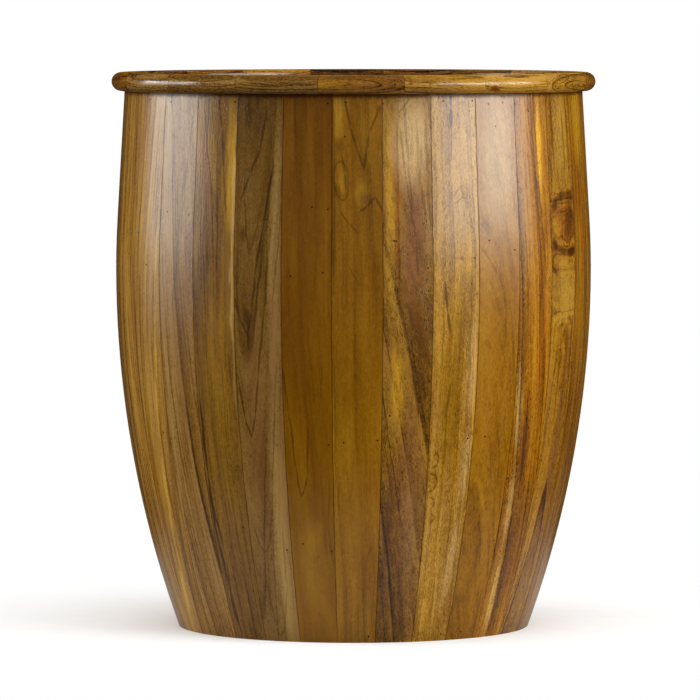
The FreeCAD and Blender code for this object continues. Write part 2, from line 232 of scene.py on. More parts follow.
def grain(tree, space, pattern, seed):
    """Noise drawn out along the board, in the size of one of the patterns."""
    across, along, own_seed, detail, roughness = PATTERNS[pattern]
    size = add(tree, "Mapping", {"Vector": space,
                                 "Location": [(seed + own_seed) * shift for shift in SEED_SHIFT],
                                 "Scale": (1 / (across * MM), 1 / (across * MM), 1 / (along * MM))})
    return add(tree, "TexNoise", {"Vector": size, "Scale": 1.0, "Detail": detail,
                                  "Roughness": roughness})


def pushed(tree, space, noise, reach):
    """Coordinates pushed sideways by a noise, up to half of `reach` millimetres each way."""
    centred = add(tree, "Math", {0: noise, 1: 0.5}, operation="SUBTRACT")
    shift = add(tree, "Math", {0: centred, 1: reach * MM}, operation="MULTIPLY")
    offset = add(tree, "CombineXYZ", {"X": shift})
    return add(tree, "VectorMath", {0: space, 1: offset}, operation="ADD")


def total_of(tree, parts, start):
    """start + the sum of value x weight."""
    total = start
    for value, weight in parts:
        total = add(tree, "Math", {0: value, 1: weight, 2: total}, operation="MULTIPLY_ADD")
    return total


def pore_dashes(tree, board, seed, amount):
    """Pores: short dark dashes, closer together in some patches than in others."""
    dash = grain(tree, board, "pore", seed)
    patch = grain(tree, board, "pore patch", seed)
    need = add(tree, "MapRange", {"Value": patch, "From Min": 0.35, "From Max": 0.7,
                                  "To Min": 0.72 - 0.05 * amount, "To Max": 0.64 - 0.08 * amount})
    over = add(tree, "Math", {0: dash, 1: need}, operation="SUBTRACT")
    return add(tree, "MapRange", {"Value": over, "From Min": 0.0, "From Max": 0.08})


print(len(PATTERNS), "patterns of wood")

# %% [markdown]
# ## Teak, step 3: growth rings
#
# A tree is a stack of cones. Sawn lengthwise near its heart, each yearly cone shows as a pointed
# arch, and far from the heart as a straight line. So the distance to the heart of the log is
# measured at each point, and every few millimetres of it make one ring: a tone of its own with a
# dark line of latewood at its edge. A knot pushes the rings aside and closes them around itself.

# %% Growth rings
def heart_distance(tree, board, wood, knots):
    """How far each point lies from the heart of the log, with the push of the knots."""
    x, y, z = add(tree, "SeparateXYZ", {0: board}).outputs
    sideways = total_of(tree, [(z, -wood["slant"]), (x, 1.0)], -wood["pith"][0] * MM)
    behind = total_of(tree, [(z, wood["tilt"]), (y, 1.0)], wood["pith"][1] * MM)
    heart = add(tree, "CombineXYZ", {"X": sideways, "Y": behind})
    distance = add(tree, "VectorMath", {0: heart}, operation="LENGTH").outputs["Value"]
    return total_of(tree, [(knot, push * MM) for knot, push in knots], distance)


def growth_rings(tree, board, wood, knots, seed):
    """Tone of the ring at each point, its dark line, the shade beside it, and coordinates along it."""
    distance = heart_distance(tree, board, wood, knots)
    years = add(tree, "Math", {0: distance, 1: wood["ring"] * MM}, operation="DIVIDE")
    uneven = add(tree, "TexNoise", {"W": years, "Scale": 0.37, "Detail": 1.0}, noise_dimensions="1D")
    years = total_of(tree, [(uneven, 3.0)], years)  # some years wide and some narrow
    year = add(tree, "Math", {0: years, 1: seed * 17.0}, operation="ADD")
    number = add(tree, "Math", {0: year}, operation="FLOOR")
    tone = add(tree, "TexWhiteNoise", {"W": number}, noise_dimensions="1D").outputs["Value"]
    season = add(tree, "Math", {0: year}, operation="FRACT")
    edge = add(tree, "MapRange", {"Value": season, "From Min": 0.84, "From Max": 0.98}, **SMOOTH)
    latewood = add(tree, "MapRange", {"Value": season, "From Min": 0.3, "From Max": 1.0}, **SMOOTH)
    fade = add(tree, "MapRange", {"Value": season, "From Min": 0.06, "From Max": 0.0}, **SMOOTH)
    line = add(tree, "Math", {0: edge, 1: fade}, operation="MAXIMUM")
    halo = add(tree, "Math", {0: latewood, 1: fade}, operation="MAXIMUM")
    x, _, z = add(tree, "SeparateXYZ", {0: board}).outputs
    shallow = add(tree, "Math", {0: x, 1: 0.06}, operation="MULTIPLY")
    along_rings = add(tree, "CombineXYZ", {"X": distance, "Y": shallow, "Z": z})
    return tone, line, halo, along_rings


print("growth rings are ready")

# %% [markdown]
# ## Teak, step 4: marks where a board has them
#
# A mark is one soft ellipse, put where a board has a knot, a dark streak or a golden band. A line
# that bends is a chain of thin marks. A loop is the thin outline of an ellipse, left where the saw
# just touched the tip of one growth ring. Places are in millimetres from the middle of the board
# and from the floor.

# %% Marks, chains of marks and loops
THIN = 2.1  # millimetres: a mark narrower than this is a drawn line
LEG_REACH = 0.62  # half length of a mark for each millimetre of its leg, so that legs run together


def reach_from(tree, space, across, level, half_width, half_length, lean):
    """0 in the middle of an ellipse and 1 on its edge. `lean` turns its top to the right, in degrees."""
    inside = add(tree, "Mapping", {"Vector": space, "Location": (across * MM, 0, level * MM),
                                   "Rotation": (0, math.radians(lean), 0),
                                   "Scale": (half_width * MM, 1.0, half_length * MM)},
                 vector_type="TEXTURE")
    return add(tree, "VectorMath", {0: inside}, operation="LENGTH").outputs["Value"]


def mark_shape(tree, space, *place):
    """A soft spot: 1 in the middle of the ellipse and 0 outside it. Narrow ones are crisper."""
    distance = reach_from(tree, space, *place)
    full = 0.55 if place[2] < THIN else 0.25
    return add(tree, "MapRange", {"Value": distance, "From Min": 1.0, "From Max": full}, **SMOOTH)


def loop_line(tree, space, *place):
    """A line on the ellipse's edge, thin along its sides and wider at its two tips."""
    distance = reach_from(tree, space, *place)
    off = add(tree, "Math", {0: distance, 1: 1.0}, operation="SUBTRACT")
    off = add(tree, "Math", {0: off}, operation="ABSOLUTE")
    return add(tree, "MapRange", {"Value": off, "From Min": 0.11, "From Max": 0.01}, **SMOOTH)


def legs(half_width, points):
    """The places of the marks that follow a line through points (across, level)."""
    places = []
    for (a, b), (c, d) in zip(points, points[1:]):
        lean = math.degrees(math.atan2(c - a, d - b))
        places.append(((a + c) / 2, (b + d) / 2, half_width, LEG_REACH * math.hypot(c - a, d - b), lean))
    return places


def tint(half_width, stain, amount, *points):
    """Stains along a line through points (across, level)."""
    return [(*place, stain, amount) for place in legs(half_width, points)]


print("marks and loops are ready")

# %% [markdown]
# ## Teak, step 5: the tone of the wood
#
# All patterns are added into one number, the tone: 0 is a dark vein and 1 is pale sapwood. `BOARD`
# says how strong each of them is in a plain board, and each board below changes a few of these. The
# sum starts at a level that keeps the mean tone in the middle of the browns.

# %% A plain board
BOARD = dict(
    tone="gold",  # its set of browns
    pith=(70, 60),  # millimetres from its middle to the heart of the log: to the right and behind
    tilt=-0.03, slant=0.0,  # how much the heart leans: backwards and sideways for each metre up
    lean=0.0,  # degrees between the grain and the board
    ring=5.0,  # width of a growth ring in millimetres
    rings=0.25, lines=0.35, halo=0.15,  # how much tone the rings, their lines and their shade take
    streak=0.7, broad=0.7, mottle=0.35, fleck=0.8, hair=0.25, pores=0.4,
    foot=0.0, head=0.0,  # change of tone at the floor and at the rim
    blush=0.3, gild=0.3,  # clouds of mauve and of gold
    marks=(), strokes=(), knots=(), loops=(), stains=(),
)
FLOW = (("bend", 15), ("waver", 2.4), ("tremble", 0.9))  # each with its reach in millimetres
print("a plain board has", len(BOARD), "settings")

# %% The figure of a board
def figure(tree, board, edges, wood, seed):
    """The grain as it wanders, and what it draws: rings, streaks, single strands and pores."""
    flow = board
    for pattern, reach in FLOW:
        flow = pushed(tree, flow, grain(tree, board, pattern, seed), reach)
    knots = [(mark_shape(tree, edges["torn"], *place), push) for *place, push in wood["knots"]]
    rings, line, halo, along_rings = growth_rings(tree, flow, wood, knots, seed)
    strand = grain(tree, along_rings, "strand", seed)
    hair = add(tree, "MapRange", {"Value": strand, "From Min": 0.54, "From Max": 0.64})
    chosen = grain(tree, along_rings, "strong rings", seed)
    strength = add(tree, "MapRange", {"Value": chosen, "From Min": 0.4, "From Max": 0.65,
                                      "To Min": 0.05, "To Max": 1.4})
    return {"flow": flow, "rings": rings, "line": line, "halo": halo, "hair": hair,
            "drawn": add(tree, "Math", {0: line, 1: strength}, operation="MULTIPLY"),
            "fine": grain(tree, along_rings, "fine streak", seed),
            "wide": grain(tree, along_rings, "wide streak", seed),
            "pores": pore_dashes(tree, board, seed, wood["pores"])}


def placed_shapes(tree, edges, wood):
    """Each mark, stroke and loop of a board with its change of tone."""
    places = [(place, shade) for *place, shade in wood["marks"]]
    for half_width, shade, *points in wood["strokes"]:
        places += [(place, shade) for place in legs(half_width, points)]
    shapes = [(mark_shape(tree, edges["wavy" if place[2] < THIN else "torn"], *place), shade)
              for place, shade in places]
    return shapes + [(loop_line(tree, edges["wavy"], *place), -depth)
                     for *place, depth in wood["loops"]]


print("the figure of a board is ready")

# %% The tone of a board
def wood_tone(tree, board, edges, parts, wood, seed):
    """All patterns as one number. A pale mark adds to it and a dark one takes a share of it away."""
    along = add(tree, "SeparateXYZ", {0: board}).outputs[2]
    total = add(tree, "MapRange", {"Value": along, "From Min": 0.0, "From Max": SHELL_TOP,
                                   "To Min": wood["foot"], "To Max": wood["head"]})
    clouds = [(parts["rings"], wood["rings"]), (parts["fine"], wood["streak"] * 0.7),
              (parts["wide"], wood["streak"] * 0.8)]
    clouds += [(grain(tree, board, name, seed), wood[name]) for name in ("broad", "fleck", "mottle")]
    # A noise is 0.5 on average, and this level takes that away again, so the mean tone stays.
    level = 0.5 - 0.5 * sum(weight for _, weight in clouds)
    level += 0.1 * wood["lines"] + 0.4 * wood["halo"] + 0.04 * wood["pores"] + 0.3 * wood["hair"]
    shapes = placed_shapes(tree, edges, wood)
    total = total_of(tree, [*clouds, (parts["drawn"], -wood["lines"]), (parts["halo"], -wood["halo"]),
                            (parts["pores"], -0.4 * wood["pores"] - 0.1),
                            (parts["hair"], -wood["hair"]),
                            *((shape, shade) for shape, shade in shapes if shade > 0)], total)
    total = add(tree, "Math", {0: total, 1: level}, operation="ADD")
    for shape, shade in shapes:
        if shade < 0:
            keep = add(tree, "Math", {0: shape, 1: shade, 2: 1.0}, operation="MULTIPLY_ADD")
            total = add(tree, "Math", {0: total, 1: keep}, operation="MULTIPLY")
    return total


print("the tone of a board is ready")

# %% [markdown]
# ## Teak, step 6: from tone to colour
#
# A colour ramp turns the tone into the board's own four browns, from the dark vein to the pale
# sapwood. Stains lie over it, such as a reddish cloud, a golden band or the rust round a knot. A
# stain is as bright as the tone below it, so that the grain runs through it.

# %% The browns of the boards, from vein to sapwood
TONES = {
    "bark": ("#402507", "#744d12", "#956719", "#b3863a"),
    "tan": ("#4a2c0b", "#784f14", "#966a21", "#b68c46"),
    "dusk": ("#3a230e", "#644312", "#82591a", "#a17c42"),
    "umber": ("#2d1a06", "#50320a", "#69440f", "#866022"),
    "olive": ("#321e06", "#5a3c0b", "#734f11", "#957136"),
    "amber": ("#3a2100", "#5f3800", "#744600", "#8c5d02"),
    "gold": ("#432903", "#724903", "#8b5a04", "#a8791a"),
    "brindle": ("#331d06", "#573708", "#704909", "#9a6f26"),
    "straw": ("#4a2d05", "#785008", "#92640e", "#b98a38"),
    "honey": ("#472a03", "#744803", "#8d5b05", "#a87619"),
    "orange": ("#462402", "#734302", "#8f5603", "#b17816"),
    "tawny": ("#3a1f02", "#653a02", "#7e4c03", "#a6771c"),
    "russet": ("#391b01", "#623701", "#7b4902", "#9c6808"),
}
TONE_STOPS = (0.0, 0.28, 0.52, 0.9)
STAINS = {"mauve": "#6e4524", "golden": "#b08217", "pale": "#b39150", "rust": "#8a4708",
          "bark": "#4a2d0c", "brown": "#643a0a", "cream": "#b3976a", "straw": "#a58434"}


def stained_colour(tree, total, flow, torn, wood, seed):
    """The ramp of the board's browns under its stains."""
    amounts = []
    for stain, most in (("mauve", wood["blush"]), ("golden", wood["gild"])):
        cloud = grain(tree, flow, stain, seed)
        amounts.append((stain, add(tree, "MapRange", {"Value": cloud, "From Min": 0.48,
                                                      "From Max": 0.72, "To Max": most})))
    for *place, stain, most in wood["stains"]:
        shape = mark_shape(tree, torn, *place)
        amounts.append((stain, add(tree, "Math", {0: shape, 1: most}, operation="MULTIPLY")))
    browns = [colour(code) for code in TONES[wood["tone"]]]
    shade = add(tree, "ValToRGB", {"Fac": total}, stops=list(zip(TONE_STOPS, browns)))
    brightness = add(tree, "Math", {0: total, 1: 1.3, 2: 0.35}, operation="MULTIPLY_ADD")
    for stain, amount in amounts:
        tinted = add(tree, "VectorMath", {0: colour(STAINS[stain])[:3], "Scale": brightness},
                     operation="SCALE")
        shade = add(tree, "Mix", {"Factor": amount, "A": shade, "B": tinted}, data_type="RGBA")
    return shade


print(len(TONES), "sets of teak browns and", len(STAINS), "stains")

# %% [markdown]
# ## Teak, step 7: dirt in the joints, painted shade under the rim, and the lacquer
#
# Old glue and dirt darken the last millimetre along each joint, and the lacquer is dull there. Just
# under the rim the wood is painted darker and its lacquer dulled, as painted shade of the rim.
# Elsewhere the satin lacquer is a clear coat. It has levelled itself, so the relief of the grain stays
# under it and its own surface only dimples over the pores. The lamps then show in it as soft bands
# with a fine sparkle. Where a surface lies flat, it is rubbed thin.

# %% Dirt in the joints and painted shade under the rim
# One colour serves for the dirt in the joints and for the painted shade under the rim.
SEAM_DIRT_AND_SHADE = "#482304"
# A full share also takes the shine away under the rim, where shade is painted.
DIRT_AND_SHADE_DULLS = 0.9  # share of the lacquer's shine that full dirt takes away
DIRT_LEAST, DIRT_MOST = 0.08, 0.34  # degrees that it reaches from a joint
# The next two values are the reach of the painted shade below the rim and how far its lower edge wanders.
UNDER_RIM_SHADE = 1.5 * MM  # how far it reaches below the rim
RAGGED = 6 * MM  # how far its lower edge wanders


def seam_dirt_and_rim_shade(tree, front, half_angle, grime_and_shade, seed, meets_rim):
    """Where the joints are dirty, along both sides, and, on a stave, the painted shade below the rim."""
    x, y, z = add(tree, "SeparateXYZ", {0: front}).outputs
    outward = add(tree, "Math", {0: y, 1: -1.0}, operation="MULTIPLY")
    angle = add(tree, "Math", {0: x, 1: outward}, operation="ARCTAN2")
    off = add(tree, "Math", {0: angle}, operation="ABSOLUTE")
    uneven = grain(tree, front, "dirt_and_shade", seed)
    reach = add(tree, "MapRange", {"Value": uneven, "From Min": 0.35, "From Max": 0.65,
                                   "To Min": math.radians(half_angle - DIRT_LEAST),
                                   "To Max": math.radians(half_angle - DIRT_MOST)})
    dark = add(tree, "MapRange", {"Value": off, "From Min": reach,
                                  "From Max": math.radians(half_angle), "To Max": grime_and_shade})
    # On a stave, a ragged band just under the rim is painted dark as the rim's shade.
    if meets_rim:
        ragged = add(tree, "Math", {0: uneven, 1: RAGGED, 2: z}, operation="MULTIPLY_ADD")
        below = add(tree, "MapRange", {"Value": ragged, "From Min": SHELL_TOP - UNDER_RIM_SHADE,
                                       "From Max": SHELL_TOP + UNDER_RIM_SHADE, "To Max": grime_and_shade})
        dark = add(tree, "Math", {0: dark, 1: below}, operation="MAXIMUM")
    return dark


print("dirt reaches up to", DIRT_MOST, "degrees from a joint")

# %% Lacquered teak
RELIEF = 0.12 * MM  # height of the grain and of the dimples in the lacquer
TORN_REACH, WAVY_REACH = 7, 3  # millimetres by which wide and thin marks are frayed


def thinned(tree, coat, rubbed):
    """The lacquer's weight, less on what faces upwards, where it is rubbed."""
    upward = add(tree, "SeparateXYZ", {0: add(tree, "NewGeometry").outputs["Normal"]}).outputs[2]
    worn = add(tree, "MapRange", {"Value": upward, "From Min": 0.85, "From Max": 0.99,
                                  "To Max": -rubbed}, **SMOOTH)
    return add(tree, "Math", {0: worn, 1: coat}, operation="ADD", use_clamp=True)


def lacquered_teak(name, seed, turn=0.0, lay="stave", seam=None, grime_and_shade=0.85, gloss=0.22, coat=1.0,
                   rubbed=0.0, **own):
    """A finished teak board. `own` replaces values of BOARD; `seam` is half its angle, in degrees."""
    wood = {**BOARD, **own}
    material, tree = new_material(name)
    front, board = board_space(tree, turn, lay)
    edges = {"torn": pushed(tree, board, grain(tree, board, "torn edge", seed), TORN_REACH),
             "wavy": pushed(tree, board, grain(tree, board, "wavy edge", seed), WAVY_REACH)}
    if wood["lean"]:
        board = add(tree, "Mapping", {"Vector": board, "Rotation": (0, math.radians(wood["lean"]), 0)})
    parts = figure(tree, board, edges, wood, seed)
    total = wood_tone(tree, board, edges, parts, wood, seed)
    shade = stained_colour(tree, total, parts["flow"], edges["torn"], wood, seed)
    # The dirt along the joints and the painted shade under the rim darken the colour and take the lacquer's
    # shine away.
    if seam:
        dirt_and_shade = seam_dirt_and_rim_shade(tree, front, seam, grime_and_shade, seed, lay == "stave")
        shade = add(tree, "Mix", {"Factor": dirt_and_shade, "A": shade, "B": colour(SEAM_DIRT_AND_SHADE)},
                    data_type="RGBA")
        coat = add(tree, "Math", {0: dirt_and_shade, 1: -DIRT_AND_SHADE_DULLS, 2: coat}, operation="MULTIPLY_ADD")
    if rubbed:
        coat = thinned(tree, coat, rubbed)
    relief = total_of(tree, [(parts["pores"], -1.0), (parts["fine"], 0.5), (parts["line"], -0.25)], 0.0)
    bump = add(tree, "Bump", {"Height": relief, "Strength": 0.35, "Distance": RELIEF})
    skin = grain(tree, board, "film", seed)
    film = total_of(tree, [(parts["pores"], -0.8), (skin, 1.0), (parts["fine"], 0.8),
                           (parts["hair"], -0.3)], 0.0)
    dimples = add(tree, "Bump", {"Height": film, "Strength": 0.65, "Distance": RELIEF})
    shader = add(tree, "BsdfPrincipled", {"Base Color": shade, "Roughness": 0.5,
                                          "Normal": bump, "Specular IOR Level": 0.0,
                                          "Coat Weight": coat, "Coat Roughness": gloss,
                                          "Coat IOR": 1.5, "Coat Normal": dimples})
    add(tree, "OutputMaterial", {"Surface": shader})
    return material


print("lacquered teak is ready")

# %% [markdown]
# ## The staves
#
# A stave is sawn from a board, hollowed, bent over heat and planed to a slight bevel so that thirty
# of them close a circle. One is modelled here as the cooper would see it from the end: a thin strip
# in the shape of the wall, drawn up level by level and then spun through twelve degrees. Its long
# outer edges are eased by about a tenth of a millimetre, which gives the fine line at each joint.

# %% Helpers in edit mode
MERGE = 1e-5  # metres: points closer than this are one


def select(obj, mode, test):
    """In edit mode, select the vertices, edges or faces that pass the test, and nothing else."""
    bpy.ops.mesh.select_mode(type=mode)
    bpy.ops.mesh.select_all(action="DESELECT")
    mesh = bmesh.from_edit_mesh(obj.data)
    parts = {"VERT": mesh.verts, "EDGE": mesh.edges, "FACE": mesh.faces}[mode]
    chosen = [part for part in parts if test(part)]
    for part in chosen:
        part.select_set(True)
    mesh.select_flush_mode()
    bmesh.update_edit_mesh(obj.data)
    return len(chosen)


def start_section(near, far, low, high):
    """An upright plane between two radii and two levels, in edit mode: the start of a section."""
    bpy.ops.object.select_all(action="DESELECT")
    bpy.ops.mesh.primitive_plane_add(size=1, location=((near + far) / 2, 0, (low + high) / 2),
                                     rotation=(math.pi / 2, 0, 0))
    piece = bpy.context.object
    piece.scale = (far - near, high - low, 1)
    bpy.ops.object.transform_apply(location=True, rotation=True, scale=True)
    bpy.ops.object.mode_set(mode="EDIT")
    return piece


def spin_section(angle, steps):
    """Spin the section about the table's axis, merge what meets and turn its faces outwards."""
    bpy.ops.mesh.select_all(action="SELECT")
    bpy.ops.mesh.remove_doubles(threshold=MERGE)
    bpy.ops.mesh.select_all(action="SELECT")
    bpy.ops.mesh.spin(steps=steps, angle=angle, center=(0, 0, 0), axis=(0, 0, 1))
    bpy.ops.mesh.select_all(action="SELECT")
    bpy.ops.mesh.remove_doubles(threshold=MERGE)
    bpy.ops.mesh.normals_make_consistent(inside=False)


def smooth_finish():
    """Leave edit mode and shade the piece smooth, but not over its edges."""
    bpy.ops.object.mode_set(mode="OBJECT")
    bpy.ops.object.shade_smooth_by_angle(angle=math.radians(20))


print("helpers for modelling are ready")

# %% The strip: a plane drawn up along the wall
LEVELS = [SHELL_TOP * i / 30 for i in range(31)]
inner = [wall_radius(level, STAVE_THICKNESS) for level in LEVELS]
outer = [wall_radius(level) for level in LEVELS]
middle = [(a + b) / 2 for a, b in zip(inner, outer)]


def draw_up(step):
    """Move the selected top edge to the next level of the wall, and fit its width there."""
    if step > 1:
        bpy.ops.mesh.extrude_region_move(TRANSFORM_OT_translate={
            "value": (middle[step] - middle[step - 1], 0, LEVELS[step] - LEVELS[step - 1])})
    else:
        bpy.ops.transform.translate(value=(middle[1] - middle[0], 0, 0))
    widening = (outer[step] - inner[step]) / (outer[step - 1] - inner[step - 1])
    bpy.ops.transform.resize(value=(widening, 1, 1), center_override=(middle[step], 0, LEVELS[step]))


stave = start_section(inner[0], outer[0], 0, LEVELS[1])
select(stave, "EDGE", lambda e: all(v.co.z > LEVELS[1] / 2 for v in e.verts))
for step in range(1, len(LEVELS)):
    draw_up(step)
print("strip drawn up in", len(LEVELS) - 1, "steps")

# %% Spin the strip and ease its edges
stave_angle = math.radians(360 / STAVE_COUNT) - GLUE_LINE / BELLY_RADIUS
spin_section(stave_angle, 6)


def outer_corner(edge):
    """True for the two long outer edges and the outer edge of the foot."""
    on_wall = all(abs(math.hypot(v.co.x, v.co.y) - wall_radius(v.co.z)) < 0.1 * MM
                  for v in edge.verts)
    off_middle = [abs(math.atan2(v.co.y, v.co.x) + stave_angle / 2) for v in edge.verts]
    at_side = all(angle > stave_angle * 0.49 for angle in off_middle)
    return on_wall and (at_side or all(v.co.z < MERGE for v in edge.verts))


eased = select(stave, "EDGE", outer_corner)
bpy.ops.mesh.bevel(offset=0.12 * MM, segments=2, profile=0.5, affect="EDGES")
smooth_finish()
print("stave:", len(stave.data.polygons), "faces,", eased, "edges eased")

# %% [markdown]
# Thirty copies of the stave are turned into their places. Each gets its own mesh, because every
# stave on the table is its own piece of wood.

# %% Copy a finished piece round the table
def own_copy(pattern):
    """A copy with its own mesh, selected alone."""
    bpy.ops.object.select_all(action="DESELECT")
    pattern.select_set(True)
    bpy.context.view_layer.objects.active = pattern
    bpy.ops.object.duplicate(linked=False)
    return bpy.context.object


def close_ring(pattern, count, first, angle, name, node):
    """Stand copies of a piece in a ring, each in the place of its node, with its place in its mesh."""
    pieces = {}
    for number in range(1, count + 1):
        piece = own_copy(pattern)
        piece.name = piece.data.name = f"{name}_{number:02d}"
        turn = ring_turn(number, count, first)
        piece.rotation_euler = (0, 0, math.radians(turn - 90 + math.degrees(angle) / 2))
        bpy.ops.object.transform_apply(location=True, rotation=True, scale=True)
        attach(piece, "root")
        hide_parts(f"{node}_{number:02d}")
        pieces[number] = piece
    bpy.data.objects.remove(pattern)
    return pieces


staves = close_ring(stave, STAVE_COUNT, STAVE_TURN, stave_angle, "teak_stave", "stave")
print(len(staves), "staves stand in their ring")

# %% [markdown]
# ## The rim
#
# Eighteen segments are sawn from flat boards, mitred and glued into a ring, and a router gives the
# ring its half-round outer edge and a smaller round inside. One segment starts as a plane as wide
# and high as the ring's section. Two corners are rounded until they meet, one gets a smaller round,
# and the section is spun through twenty degrees.

# %% Eighteen rim segments
HALF_ROUND = 0.9999 / 2  # of the rim's height: a hair short of half, so that both rounds fit
segment = start_section(RIM_RADIUS - RIM_WIDTH, RIM_RADIUS, SHELL_TOP, SHELL_TOP + RIM_HEIGHT)
select(segment, "VERT", lambda v: v.co.x > RIM_RADIUS - RIM_WIDTH / 2)
bpy.ops.mesh.bevel(offset=RIM_HEIGHT * HALF_ROUND, segments=12, affect="VERTICES")
select(segment, "VERT", lambda v: v.co.x < RIM_RADIUS - RIM_WIDTH + MERGE
       and v.co.z > SHELL_TOP + RIM_HEIGHT / 2)
bpy.ops.mesh.bevel(offset=RIM_INNER_ROUND, segments=6, affect="VERTICES")
rim_angle = math.radians(360 / RIM_COUNT) - GLUE_LINE / RIM_RADIUS
spin_section(rim_angle, 10)
smooth_finish()
print("rim segment:", len(segment.data.polygons), "faces")
rim = close_ring(segment, RIM_COUNT, RIM_TURN, rim_angle, "teak_rim", "rim_segment")
print(len(rim), "rim segments close the ring")

# %% [markdown]
# ## Nail heads
#
# Small nails go through the staves into the hoops behind them. Their heads are driven flush and are
# dark with age, so from a distance each is a dark dot less than two millimetres wide. Their rows
# follow the hoops, and a few more hold a stave edge here and there.

# %% One nail head
bpy.ops.object.select_all(action="DESELECT")
bpy.ops.mesh.primitive_cylinder_add(vertices=10, radius=0.8 * MM, depth=0.8 * MM,
                                    location=(0, 0, -0.3 * MM))
nail = bpy.context.object
bpy.ops.object.mode_set(mode="EDIT")
select(nail, "FACE", lambda f: f.normal.z > 0.9)
bpy.ops.mesh.inset(thickness=0.2 * MM, depth=0.0)
bpy.ops.mesh.inset(thickness=0.25 * MM, depth=-0.12 * MM)
bpy.ops.object.mode_set(mode="OBJECT")
bpy.ops.object.transform_apply(location=True, rotation=True, scale=True)
print("nail head:", len(nail.data.polygons), "faces")

# %% Where the nails sit: stave number, millimetres from its middle, level in millimetres
NAILS = [
    (27, -14, 483), (28, 19, 484), (30, 18, 483), (1, -10, 484), (2, -21, 483), (3, -10, 485),
    (3, 19, 485), (4, -8, 482), (4, 8, 483), (5, -21, 482), (5, -4, 475), (6, 1, 487), (1, -11, 454),
    (4, -1, 462), (27, -13, 385), (27, 16, 383), (30, 5, 392), (30, 19, 390), (2, -13, 362),
    (2, -11, 362), (2, 14, 377), (2, 18, 338), (3, 18, 346), (4, -12, 361), (4, 17, 352),
    (30, -14, 331), (30, 15, 334), (29, 14, 180), (30, 18, 181), (1, -12, 183), (1, 18, 185),
    (3, 16, 185), (4, -9, 186), (28, 14, 156), (2, -15, 207), (5, -3, 200), (28, 14, 104),
    (29, 15, 85), (30, -9, 91), (30, 17, 85), (4, 17, 90), (1, 11, 6), (3, 11, 6), (4, -2, 7),
]
NAIL_ROWS = (484, 361, 333, 183, 87)
dice = random.Random(7)
for number in range(7, 27):
    for level in NAIL_ROWS:
        if dice.random() < 0.7:
            NAILS.append((number, dice.uniform(-17, 17), level + dice.uniform(-4, 4)))
print(len(NAILS), "nails")

# %% Drive them in
heads = []
for number, across, level in NAILS:
    level *= MM
    radius = wall_radius(level)
    slope = math.atan2(wall_radius(level - MM) - wall_radius(level + MM), 2 * MM)
    around = math.radians(ring_turn(number, STAVE_COUNT, STAVE_TURN) - 90) + across * MM / radius
    head = own_copy(nail)
    head.rotation_euler = (0, math.pi / 2 - slope, around)
    head.location = (radius * math.cos(around), radius * math.sin(around), level)
    heads.append(head)
bpy.data.objects.remove(nail)
bpy.ops.object.select_all(action="DESELECT")
for head in heads:
    head.select_set(True)
bpy.context.view_layer.objects.active = heads[0]
bpy.ops.object.join()
nails = bpy.context.object
bpy.ops.object.transform_apply(location=True, rotation=True, scale=True)
nails.name = nails.data.name = "nail_heads"
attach(nails, "root")
print(len(heads), "nail heads in one piece")

# %% [markdown]
# ## Thirteen staves face the front
#
# Each stave comes from another log, and some show the arches of wood sawn near the heart. Values
# that differ from a plain board are given, and then what lies on the stave, in millimetres. A mark
# is (across, level, half width, half length, lean, change of tone) and a stroke (half width, change
# of tone, points). A knot ends with its push on the rings, a loop with its depth of tone, and a
# stain with its colour and strength.

